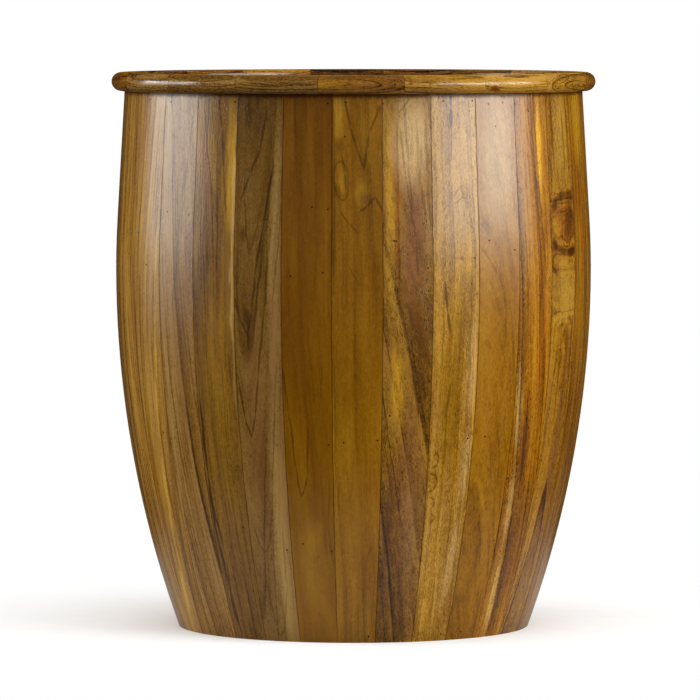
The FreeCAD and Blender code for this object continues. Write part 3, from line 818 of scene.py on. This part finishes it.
# %% Recipes of the front staves
CALM = dict(pith=(60, 60), ring=14, rings=0.1, lines=0.06, halo=0.05, hair=0.1, streak=0.3, fleck=0.5,
            pores=0.2)  # a board sawn far from the heart, with hardly a ring to see
FRONT = {
    25: dict(tone="bark", streak=0.6, blush=0.5, gild=0.15,
        marks=[(-11, 250, 4, 400, 0, -0.35), (2, 300, 2.5, 300, 1, 0.3)]),
    26: dict(tone="tan", pith=(-60, 40), slant=0.02, ring=9, lines=0.3, streak=0.6, head=0.1,
        marks=[(-14, 300, 2.5, 300, 0, -0.2)],
        strokes=[(3.5, 0.3, (17, 375), (16, 305), (4, 172), (-3, 77), (-14, 2)),
            (2.2, -0.3, (19, 240), (18, 130), (9, 66), (2, 10))],
        stains=[*tint(4.0, "golden", 0.4, (17, 375), (16, 305), (4, 172), (-3, 77), (-14, 2)),
            (13, 110, 5, 140, 5, "mauve", 0.6), (-12, 400, 4, 90, 0, "golden", 0.5),
            (14, 400, 5, 60, 0, "mauve", 0.5)]),
    27: dict(tone="dusk", pith=(60, 50), slant=-0.05, ring=11, lines=0.3, streak=0.5, blush=0.4,
        gild=0.05, foot=0.01, head=0.2,
        strokes=[(1.0, -0.35, (17, 478), (13, 432), (6, 400), (2, 342), (-4, 300)),
            (0.9, -0.3, (13, 440), (8, 396), (7, 360)),
            (2.4, 0.35, (-19, 285), (-15, 216), (-16, 150), (-20, 90))],
        stains=[(19, 350, 4, 40, 0, "mauve", 0.9), (4, 250, 14, 110, 0, "mauve", 0.35)]),
    28: dict(tone="umber", pith=(50, 26), tilt=0.03, slant=-0.03, ring=9, lines=0.25, halo=0.1,
        streak=0.5, foot=0.05, head=0.2,
        marks=[(-6, 330, 5, 45, 0, -0.25), (16, 400, 9, 130, 0, 0.3), (20.5, 340, 2.2, 200, 0, 0.6),
            (-3, 215, 19, 85, 0, -0.13)],
        strokes=[(1.4, -0.4, (-15, 492), (-11, 450), (-6, 423), (-2, 397), (0, 355)),
            (1.5, -0.45, (1, 490), (6, 459), (9, 424), (14, 380)),
            (1.9, -0.7, (-19, 220), (-18, 150), (-17, 91)), (2.6, -0.75, (-17, 105), (-13, 45), (-9, 0)),
            (1.3, -0.6, (-18, 135), (-10, 75), (-13, 25))],
        stains=[(16, 430, 6, 80, 0, "golden", 0.5), (-10, 420, 6, 70, -8, "mauve", 0.6),
            (20, 350, 3, 160, 0, "pale", 0.3)]),
    29: dict(tone="olive", pith=(-20, 30), tilt=-0.036, slant=0.035, rings=0.1, lines=0.25, halo=0.05,
        hair=0.1, streak=0.35, mottle=0.4, fleck=0.6, pores=0.7, blush=0.6, gild=0.0, foot=0.2, head=-0.08,
        marks=[(-11, 478, 4, 26, 0, -0.5), (-3, 485, 1.2, 18, 0, -0.4), (-9, 424, 2.5, 4, 0, -0.4),
            (-14, 367, 4.5, 10, 0, -0.45), (-11, 294, 4.5, 15, -15, -0.6), (-9, 275, 1.8, 14, 0, -0.5),
            (17, 340, 9, 230, 0, 0.2), (14, 80, 11, 130, 2, 0.35)],
        strokes=[(1.3, -0.55, (7, 480), (1, 442), (-8, 422), (-17, 396)),
            (1.5, -0.6, (14, 430), (5, 371), (-2, 331), (-5, 300), (-10, 278)),
            (1.5, -0.6, (-22, 310), (-17, 292), (-10, 278)),
            (1.3, -0.5, (10, 348), (7, 300), (-1, 238), (-5, 205), (-10, 186)),
            (1.3, -0.55, (-20, 235), (-15, 202), (-10, 186)),
            (1.0, -0.35, (-15, 105), (-11, 88), (-6, 82), (-1, 90), (4, 120)),
            (1.0, -0.35, (-8, 62), (-5, 12), (-2, 4), (4, 14), (11, 50), (13, 110))],
        stains=[(11, 110, 11, 160, 1, "pale", 0.3), (16, 320, 8, 190, 1, "pale", 0.3),
            (17, 250, 7, 260, 1, "mauve", 0.4), (-6, 200, 14, 200, 0, "mauve", 0.4)]),
    30: dict(CALM, tone="amber", blush=0.0, gild=0.1, foot=0.25, head=-0.05,
        marks=[(-4.5, 465, 5, 45, 0, -0.25), (-16, 455, 5, 60, 0, 0.12), (4, 100, 8, 22, 20, 0.15),
            (10, 30, 7, 20, -20, 0.15)],
        strokes=[(1.1, -0.5, (-22, 250), (-17, 210), (-12, 158), (-9, 133)),
            (1.1, -0.5, (-9, 134), (-5, 141), (-2, 152), (0, 200)), (0.8, -0.25, (15, 270), (12, 221)),
            (0.8, -0.2, (8, 350), (7, 306)), (1.0, -0.3, (18, 150), (15, 105), (17, 70))],
        loops=[(-10, 205, 2.5, 40, -1, 0.15)],
        stains=[(0, 70, 17, 60, 0, "golden", 0.25)]),
    1: dict(CALM, tone="gold", blush=0.05,
        marks=[(19, 478, 3.5, 5, 0, -0.4), (5, 462, 5, 20, 0, -0.12), (6, 430, 1.6, 9, 0, -0.5),
            (-17, 402, 5, 3, 20, -0.3), (-15, 446, 6, 10, 0, -0.35), (-18, 408, 4, 7, 0, -0.4),
            (-21, 400, 2, 90, 0, -0.4)],
        strokes=[(1.4, -0.6, (-12, 488), (-6, 462), (0, 443), (6, 424)),
            (1.4, -0.6, (19, 479), (11, 457), (8, 442), (6, 424)),
            (1.3, -0.5, (-14, 438), (-11, 422), (-10, 408)),
            (1.4, -0.6, (1, 387), (9, 393), (16, 401), (23, 387)),
            (1.4, -0.45, (-15, 388), (-8, 378), (2, 368)), (1.1, -0.35, (-9, 342), (4, 320)),
            (0.9, -0.3, (-20, 250), (-19, 150))],
        loops=[(-14, 415, 6.5, 17, -5, 0.5), (-13, 413, 4, 11, -8, 0.2), (11, 45, 4, 42, 2, 0.4),
            (11, 38, 2, 24, 2, 0.25)],
        stains=[(-14, 415, 5, 15, -5, "golden", 0.45), (4, 405, 9, 16, 0, "golden", 0.5),
            (8, 399, 8, 7, 0, "mauve", 0.5), (5, 460, 5, 22, 0, "golden", 0.4),
            (-17, 470, 5, 25, 0, "golden", 0.5)]),
    2: dict(tone="brindle", lean=9, ring=10, lines=0.25, hair=0.12, streak=0.6, broad=0.9, mottle=1.1,
        fleck=1.2, pores=1.0, blush=0.5, gild=0.25, foot=-0.1, head=0.3,
        marks=[(9, 285, 9, 50, -14, -0.3), (3, 292, 3.5, 14, -12, -0.3), (-18, 328, 2.2, 3.5, 0, -0.6),
            (-10, 230, 7, 55, -6, 0.25), (13, 235, 5, 28, -10, -0.3), (-14, 85, 5, 95, 1, -0.3),
            # The pale mark at level 452 and the cream stain at level 450 lighten the top: partly beige
            # wood, partly painted highlight.
            (7, 120, 11, 70, -3, 0.05), (4, 452, 24, 60, 0, 0.25), (10, 440, 1.6, 40, -2, -0.3)],
        strokes=[(1.2, -0.4, (-8, 474), (5, 490), (23, 494)),
            (1.3, -0.35, (-9, 470), (-9, 398), (-8, 310), (1, 270), (13, 190)),
            (1.3, -0.35, (-6, 460), (-2, 420), (7, 363), (9, 330)),
            (1.3, -0.3, (13, 450), (12, 416), (16, 380)), (2, -0.4, (17, 470), (18, 420), (21, 370)),
            (1.6, -0.35, (-3, 490), (1, 430), (4, 390))],
        stains=[(6, 360, 15, 110, 3, "mauve", 0.85), (-16, 380, 6, 120, 0, "golden", 0.5),
            (12, 280, 9, 60, -8, "brown", 0.7), (-10, 380, 2.5, 90, 0, "rust", 0.5),
            (3, 450, 24, 60, 0, "cream", 0.55), (-13, 90, 6, 100, 0, "mauve", 0.6),
            (-8, 230, 8, 60, -5, "golden", 0.5), (6, 110, 10, 70, -3, "cream", 0.15),
            (4, 130, 20, 150, 0, "mauve", 0.55)]),
    3: dict(tone="straw", pith=(-60, 50), tilt=-0.02, slant=-0.02, ring=6, rings=0.2, lines=0.12,
        hair=0.1, streak=0.5, mottle=0.7, fleck=1.1, pores=0.7, blush=0.35, foot=0.06, head=0.14,
        marks=[(-3, 450, 1.2, 22, 0, -0.5), (12, 405, 2.5, 9, 0, -0.3), (5, 346, 2, 3, 0, -0.5),
            (-17, 20, 4, 35, 0, -0.4), (-4, 220, 17, 110, 0, -0.25), (-15, 152, 5, 22, 0, -0.15),
            (-2, 40, 16, 60, 0, 0.15)],
        strokes=[(2.0, -0.95, (-3, 497), (-3, 480), (-3, 460)),
            (1.1, -0.4, (-2, 400), (4, 409), (10, 411)), (1.0, -0.4, (-1, 394), (6, 400), (13, 398)),
            (1.8, -0.75, (-12, 326), (-9, 300), (-6, 280)), (1.2, -0.35, (6, 408), (13, 388), (18, 366)),
            (0.9, -0.35, (5, 315), (3, 238)), (1.5, -0.5, (-3, 238), (-8, 204)),
            (5.5, 0.22, (18, 320), (18, 200), (15, 120), (7, 30)), (1.3, -0.45, (-4, 66), (-2, 14)),
            (1.2, -0.5, (-15, 174), (-11, 169), (-12, 162), (-17, 159)),
            (1.3, -0.5, (-19, 155), (-13, 152), (-11, 146), (-14, 139), (-18, 138)),
            (1.2, -0.45, (-16, 133), (-12, 130), (-13, 123)),
            (1.2, -0.45, (-14, 118), (-10, 114), (-14, 109))],
        knots=[(-15, 152, 5, 22, 0, 5)],
        stains=[(13, 348, 5, 34, 3, "golden", 0.9), (-6, 290, 3, 60, 2, "rust", 0.35),
            (0, 300, 10, 90, 3, "golden", 0.4),
            *tint(7.5, "cream", 0.25, (16, 300), (16, 200), (14, 120), (6, 30)),
            (-8, 60, 9, 90, 0, "golden", 0.3)]),
    4: dict(tone="honey", pith=(-24, 90), tilt=0.06, ring=16, rings=0.2, lines=0.06, hair=0.15,
        streak=0.3, mottle=0.5, pores=0.3, gild=0.15, head=0.14,
        marks=[(4, 60, 6, 60, 0, 0.2)],
        strokes=[(1.2, -0.35, (-21, 355), (-10, 342), (-3, 330), (4, 317), (7, 299), (7, 262)),
            (1.1, -0.35, (-3, 182), (4, 140), (9, 134), (12, 162)), (1.0, -0.3, (13, 172), (18, 112)),
            (1.3, -0.4, (12, 45), (13, 8))],
        # The cream stain over the top of this stave is partly a pinker wood tone and partly painted
        # highlight.
        stains=[(0, 430, 24, 80, 0, "cream", 0.4)]),
    5: dict(tone="orange", slant=-0.02, lines=0.3, streak=0.9, mottle=0.8, fleck=1.1, pores=0.9, foot=-0.04,
        marks=[(-13, 400, 3.2, 100, 0, 0.2), (-14, 270, 5, 65, 0, -0.3), (9, 430, 6, 75, 0, 0.4),
            (-4, 200, 1.8, 3, 0, -0.7)],
        strokes=[(2.0, -0.5, (-1, 492), (1, 430), (4, 369), (11, 275), (16, 200)),
            (1.6, -0.4, (-3, 450), (8, 380), (14, 330)),
            (5.5, 0.12, (-19, 255), (-12, 160), (-10, 80), (-6, 0)),
            (3.6, -0.4, (-5, 215), (-1, 120), (1, 0))],
        stains=[(10, 260, 7, 90, 1, "rust", 0.6), (9, 80, 11, 90, 2, "brown", 0.6),
            *tint(6.0, "pale", 0.55, (-19, 255), (-12, 160), (-10, 80), (-6, 0)),
            *tint(4.0, "mauve", 0.8, (-5, 215), (-1, 120), (1, 0)), (-13, 400, 3, 90, 0, "mauve", 0.3),
            (8, 440, 5, 60, 0, "golden", 0.9)]),
    6: dict(tone="tawny", pith=(0, 34), tilt=0.02, ring=4.5, lines=0.3, mottle=0.9, fleck=1.1, pores=1.0,
        foot=-0.12, head=0.09,
        marks=[(2, 372, 46, 36, 0, -0.1), (14, 381, 12, 20, 0, -0.5), (12, 347, 12, 6, 0, -0.5),
            (0, 312, 34, 36, 0, 0.22), (6, 365, 9, 14, 0, -0.3), (-4, 250, 2, 60, 1, -0.35),
            (8, 230, 2.5, 70, 1, -0.3)],
        strokes=[(2, -0.4, (-14, 480), (-12, 420)), (2, -0.45, (6, 476), (8, 418)),
            (2, -0.35, (15, 488), (16, 405)), (7, -0.75, (-20, 384), (-9, 396), (5, 401), (24, 396)),
            (6, -0.8, (-24, 360), (-10, 351), (4, 346), (26, 350))],
        knots=[(2, 372, 46, 36, 0, 17), (0, 312, 34, 36, 0, 8), (6, 365, 9, 14, 0, 6)],
        loops=[(5, 364, 9, 12, 4, 0.6), (7, 363, 4, 5.5, 4, 0.5), (-3, 333, 13, 9, 0, 0.2)],
        stains=[(0, 308, 34, 40, 0, "straw", 0.35), (12, 378, 14, 22, 0, "bark", 0.5),
            (-12, 370, 10, 18, 0, "golden", 0.6), (0, 372, 24, 30, 0, "rust", 0.5),
            (0, 450, 16, 60, 0, "straw", 0.4), (0, 60, 30, 110, 0, "cream", 0.1),
            (6, 130, 16, 150, 0, "mauve", 0.5)]),
    7: dict(tone="russet", streak=1.0, foot=-0.09, head=0.07,
        stains=[(0, 380, 12, 80, 0, "rust", 0.5), (0, 60, 30, 130, 0, "cream", 0.15),
            (0, 470, 20, 60, 0, "golden", 0.7)]),
}
print(len(FRONT), "recipes for the front")

# %% [markdown]
# The other seventeen staves go round the back. Their logs are drawn by lot, with a fixed seed, from
# the same sets of browns and from four ways of sawing: straight grain, two kinds of arches and
# leaning grain.

# %% Recipes of the other staves, and the finish of all thirty
SAWN = [
    dict(streak=0.8, ring=4.5),
    dict(pith=(-6, 34), tilt=-0.036, slant=0.03, ring=4.5, lines=0.5, streak=0.45),
    dict(pith=(8, 40), tilt=0.04, slant=-0.02, lines=0.4, streak=0.45),
    dict(lean=6, streak=0.9, broad=0.9, pores=0.9),
]
dice = random.Random(21)
names = list(TONES)


def by_lot():
    """A way of sawing, a set of browns and two long marks, all drawn by lot."""
    own = {**dice.choice(SAWN), "tone": dice.choice(names)}
    own["marks"] = [(dice.uniform(-16, 16), dice.uniform(60, 440), dice.uniform(1.5, 4),
                     dice.uniform(40, 160), dice.uniform(-3, 3), dice.choice((-0.5, 0.35)))
                    for _ in range(2)]
    return own


for number, piece in staves.items():
    own = FRONT[number] if number in FRONT else by_lot()
    turn = ring_turn(number, STAVE_COUNT, STAVE_TURN)
    finish = lacquered_teak(f"lacquered_teak_stave_{number:02d}", number * 3.17, turn,
                            seam=180 / STAVE_COUNT, **own)
    piece.data.materials.append(finish)
print(len(staves), "staves finished")

# %% [markdown]
# ## The rim's wood and the boards of the top
#
# The rim is handled most and is a little glossier on its round side, but rubbed thin on its crest.
# Its segments were cut from what was left over, so their browns change from one to the next. Their
# marks count from the middle of the rim's height and of the segment's length, and `foot` is the
# change of tone of nearly a whole segment. The boards of the top lie flat and have the thinnest
# lacquer, or a low lamp would turn them white.

# %% Rim segments
RIM_PLAIN = {"hair": 0.5, "mottle": 0.8, "fleck": 1.5, "pores": 1.0, "pith": (40, 30)}
# The dark band along the crest is painted shade: it darkens the top of the rim, which faces the light.
PAINTED_CREST_SHADE = (7, 0, 5, 90, 0)  # place of the dark band along the crest
RIM_OWN = {
    1: dict(tone="honey", pith=(0, 20), tilt=0.10, lines=0.25, rings=0.3, blush=0.8, fleck=1.4,
            foot=-0.06, marks=[(*PAINTED_CREST_SHADE, -0.35)]),
    2: dict(tone="straw", streak=0.9, blush=0.6, foot=0.05, marks=[(*PAINTED_CREST_SHADE, -0.3)]),
    3: dict(tone="straw", streak=0.9, foot=0.08, marks=[(-4, -27, 3, 8, 0, -0.85)],
            stains=[(-4, -27, 4, 9, 0, "rust", 0.9)]),
    4: dict(tone="straw", pith=(-4, 14), tilt=-0.2, ring=6, lines=0.5, foot=-0.05),
    5: dict(tone="russet"), 8: dict(tone="umber", blush=0.9, foot=-0.3),
    9: dict(tone="umber", blush=0.9, gild=0.0, foot=-0.25),
    10: dict(tone="umber", blush=0.6, foot=-0.35), 11: dict(tone="bark", foot=-0.1),
    12: dict(tone="russet", foot=-0.35), 13: dict(tone="russet", lean=14, foot=-0.5),
    15: dict(tone="russet", foot=-0.15), 16: dict(tone="dusk", blush=1.0, gild=0.0, foot=-0.05),
    17: dict(tone="dusk", blush=1.0, gild=0.0, foot=-0.2, marks=[(*PAINTED_CREST_SHADE, -0.2)]),
    18: dict(tone="olive", pores=0.8, foot=-0.06, marks=[(*PAINTED_CREST_SHADE, -0.3)]),
}
CLEAN_MITRES = (2, 3, 4)
RIM_MIDDLE = SHELL_TOP / MM + RIM_HEIGHT / 2 / MM  # millimetres, as are the places of the marks
RIM_CENTRE = RIM_RADIUS / MM - RIM_WIDTH / 2 / MM


def moved_up(rows):
    """The same marks or stains, counted from the floor."""
    return [(across + RIM_MIDDLE, *rest) for across, *rest in rows]


for number, piece in rim.items():
    lot = {"tone": dice.choice(names)}
    own = {**RIM_PLAIN, **RIM_OWN.get(number, lot)}
    own["pith"] = (own["pith"][0] + RIM_MIDDLE, own["pith"][1] + RIM_CENTRE)
    own.update({kind: moved_up(own.get(kind, ())) for kind in ("marks", "stains")})
    finish = lacquered_teak(f"lacquered_teak_rim_{number:02d}", number * 5.71,
                            ring_turn(number, RIM_COUNT, RIM_TURN), "rim", seam=180 / RIM_COUNT,
                            grime_and_shade=0.15 if number in CLEAN_MITRES else 0.6, gloss=0.17,
                            rubbed=0.88, **own)
    piece.data.materials.append(finish)
print(len(rim), "rim segments finished")

# %% Boards of the top
def refinish(node, finish):
    """Give a solid of the frame its finish. Its shape and place stay as they are."""
    node.data.materials.clear()
    node.data.materials.append(finish)


TOP = {1: "honey", 2: "gold", 3: "tan", 4: "tawny", 5: "gold"}
TOP_LEVEL = (SHELL_TOP + RIM_HEIGHT - TRAY_DEPTH) / MM
HEART_ABOVE = 40  # millimetres from the top to the heart of the logs that its boards were sawn from
for number, tone in TOP.items():
    lowest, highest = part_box(f"top_board_{number}")
    centre = (lowest[0] + highest[0]) / 2 / MM
    finish = lacquered_teak(f"lacquered_teak_top_{number}", number * 8.3, 0.0, "board",
                            gloss=0.4, coat=0.3, tone=tone,
                            pith=(centre + 6 * (number - 3), -HEART_ABOVE - TOP_LEVEL), tilt=0.05,
                            lines=0.45, streak=0.8)
    refinish(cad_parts[f"top_board_{number}"], finish)
print(len(TOP), "boards of the top finished")

# %% [markdown]
# ## Hidden pieces: sawn teak and steel
#
# Hoops and battens are never seen from above. They keep the marks of the saw and get no lacquer, so
# they are paler and dull. The screws are zinc-plated steel.

# %% Sawn teak
SAW_STEP = 2.5 * MM  # between two of the lines that a band saw leaves across the wood


def sawn_teak(name, seed):
    """Unlacquered teak with faint cross lines from the saw."""
    material, tree = new_material(name)
    _, board = board_space(tree, 0.0, "rim")
    fine = grain(tree, board, "sawn streak", seed)
    broad = grain(tree, board, "sawn cloud", seed)
    along = add(tree, "SeparateXYZ", {0: board}).outputs[2]
    wave = add(tree, "Math", {0: along, 1: 2 * math.pi / SAW_STEP}, operation="MULTIPLY")
    saw = add(tree, "Math", {0: wave}, operation="SINE")
    tone = total_of(tree, [(fine, 1.2), (broad, 0.6), (saw, 0.04)], -0.4)
    browns = add(tree, "ValToRGB", {"Fac": tone}, stops=[
        (0.1, colour("#5b3d1c")), (0.5, colour("#8c6a3c")), (0.9, colour("#ab8a58"))])
    relief = total_of(tree, [(fine, 0.6), (saw, 0.25)], 0.0)
    bump = add(tree, "Bump", {"Height": relief, "Strength": 0.5, "Distance": 0.3 * MM})
    shader = add(tree, "BsdfPrincipled", {"Base Color": browns, "Roughness": 0.75, "Normal": bump})
    add(tree, "OutputMaterial", {"Surface": shader})
    return material


hoop_wood = sawn_teak("sawn_teak_hoops", 2.0)
batten_wood = sawn_teak("sawn_teak_battens", 6.0)
for name in ("top_hoop", "upper_hoop", "lower_hoop", "foot_hoop"):
    refinish(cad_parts[name], hoop_wood)
for name in ("batten_front", "batten_back"):
    refinish(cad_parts[name], batten_wood)
print("hoops and battens in sawn teak")

# %% Zinc-plated steel and dark nail heads
CLOUD_SIZE = 3 * MM


def plated_steel(name, base, roughness, spread):
    """Steel with a thin, cloudy plating: the tone changes softly every few millimetres."""
    material, tree = new_material(name)
    place = add(tree, "TexCoord").outputs["Object"]
    cloud = add(tree, "TexNoise", {"Vector": place, "Scale": 1 / CLOUD_SIZE, "Detail": 3.0})
    deeper = tuple(c * spread for c in colour(base)[:3]) + (1.0,)
    tone = add(tree, "ValToRGB", {"Fac": cloud}, stops=[(0.3, colour(base)), (0.7, deeper)])
    dull = add(tree, "MapRange", {"Value": cloud, "From Min": 0.3, "From Max": 0.7,
                                  "To Min": roughness, "To Max": roughness + 0.15})
    bump = add(tree, "Bump", {"Height": cloud, "Strength": 0.2, "Distance": 0.1 * MM})
    shader = add(tree, "BsdfPrincipled", {"Base Color": tone, "Metallic": 1.0, "Roughness": dull,
                                          "Normal": bump})
    add(tree, "OutputMaterial", {"Surface": shader})
    return material


refinish(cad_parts["batten_screws"], plated_steel("zinc_plated_steel", "#b9bcbd", 0.32, 0.8))
nails.data.materials.append(plated_steel("dark_iron_nails", "#1f1307", 0.6, 0.6))
print("screws and nail heads in metal")

# %% [markdown]
# ## Floor, lamps and background
#
# The studio has a pale floor that runs on into white. Only near the table does the camera see it as
# lit, so that it keeps the soft shadow. A broad softbox on the right and a narrower one on the left
# give the two bands on the lacquer. Each is made of three lamps, one above the other, because its
# band is bright at the shoulder of the table and fades towards the floor. The room in front stays
# dim, which keeps the middle staves deep in colour, and a weak lamp behind, tilted down, keeps the
# back readable.

# %% Floor
bpy.ops.object.select_all(action="DESELECT")
bpy.ops.mesh.primitive_plane_add(size=24, location=(0, 0, 0))
floor = bpy.context.object
floor.name = "studio_floor"
material, tree = new_material("painted_studio_floor")
spot = add(tree, "NewGeometry").outputs["Position"]
far = add(tree, "VectorMath", {0: spot}, operation="LENGTH").outputs["Value"]
speckle = add(tree, "TexNoise", {"Vector": spot, "Scale": 40.0, "Detail": 3.0})
paint = add(tree, "ValToRGB", {"Fac": speckle}, stops=[(0.3, colour("#f3f2f0")),
                                                      (0.7, colour("#f6f5f3"))])
seen = add(tree, "LightPath").outputs["Is Camera Ray"]
sweep = add(tree, "MapRange", {"Value": far, "From Min": 0.2, "From Max": 0.6,
                               "To Min": 0.5, "To Max": 0.02}, **SMOOTH)
shown = add(tree, "Math", {0: sweep, 1: seen}, operation="MAXIMUM")
shade = add(tree, "Mix", {"Factor": shown, "A": colour("#000000"), "B": paint}, data_type="RGBA")
lit = add(tree, "BsdfDiffuse", {"Color": shade, "Roughness": 0.5})
white = add(tree, "Emission", {"Color": colour("#ffffff"), "Strength": 1.0})
away = add(tree, "MapRange", {"Value": far, "From Min": 0.17, "From Max": 0.5}, **SMOOTH)
blend = add(tree, "Math", {0: away, 1: seen}, operation="MULTIPLY")
add(tree, "OutputMaterial", {"Surface": add(tree, "MixShader", {0: blend, 1: lit, 2: white})})
floor.data.materials.append(material)
floor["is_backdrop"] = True
print("floor laid")

# %% Softboxes: name, azimuth, width, and the lowest level, highest level and brightness of each lamp
SOFTBOXES = [
    ("right", -26, 1.9, ((0.28, 0.48, 1.8), (0.48, 1.0, 8.4), (1.0, 1.3, 1.5))),
    ("left", 175, 1.35, ((0.10, 0.33, 1.2), (0.33, 0.55, 3.5), (0.55, 1.1, 7.0))),
]


def softbox(name, azimuth, distance, width, low, high, brightness):
    """An upright lamp of even brightness, facing the table. Azimuth 0 is the table's right."""
    data = bpy.data.lights.new(name, "AREA")
    data.shape, data.size, data.size_y = "RECTANGLE", width, high - low
    data.energy = math.pi * width * (high - low) * brightness
    lamp = bpy.data.objects.new(name, data)
    bpy.context.scene.collection.objects.link(lamp)
    turn = math.radians(azimuth)
    lamp.location = (distance * math.cos(turn), distance * math.sin(turn), (low + high) / 2)
    lamp.rotation_euler = (math.pi / 2, 0, turn + math.pi / 2)
    lamp.visible_camera = False
    return lamp


for side, azimuth, width, lamps in SOFTBOXES:
    for low, high, brightness in lamps:
        softbox(f"softbox_{side}_{low:.2f}", azimuth, 2.0, width, low, high, brightness)
fill = softbox("softbox_behind", 80, 2.2, 2.0, 1.8, 3.0, 0.4)
fill.rotation_euler[0] = math.radians(50)

# %% World
world = bpy.data.worlds.new("studio")
bpy.context.scene.world = world
world.use_nodes = True
tree = world.node_tree
tree.nodes.clear()
rays = add(tree, "LightPath").outputs
direction = add(tree, "TexCoord").outputs["Generated"]
_, towards_back, upward = add(tree, "SeparateXYZ", {0: direction}).outputs
back = add(tree, "MapRange", {"Value": towards_back, "From Min": 0.5, "From Max": 0.8}, **SMOOTH)
raised = add(tree, "MapRange", {"Value": upward, "From Min": 0.35, "From Max": 0.7}, **SMOOTH)
paper = add(tree, "Math", {0: back, 1: raised}, operation="MULTIPLY")
mirrored = add(tree, "MapRange", {"Value": paper, "To Min": 0.01, "To Max": 0.08})
room = add(tree, "Mix", {"Factor": rays["Is Glossy Ray"], "A": 1.0, "B": mirrored})
clear = add(tree, "Math", {0: rays["Is Camera Ray"], 1: rays["Is Transmission Ray"]},
            operation="MAXIMUM")
strength = add(tree, "Mix", {"Factor": clear, "A": room, "B": 1.0})
sky = add(tree, "Background", {"Color": colour("#ffffff"), "Strength": strength})
add(tree, "OutputWorld", {"Surface": sky})
bpy.context.scene.view_settings.view_transform = "Standard"
print("studio ready")

# %% The size of what is shown
low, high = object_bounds()
print("visual box:", [round(v, 4) for v in (*low, *high)])
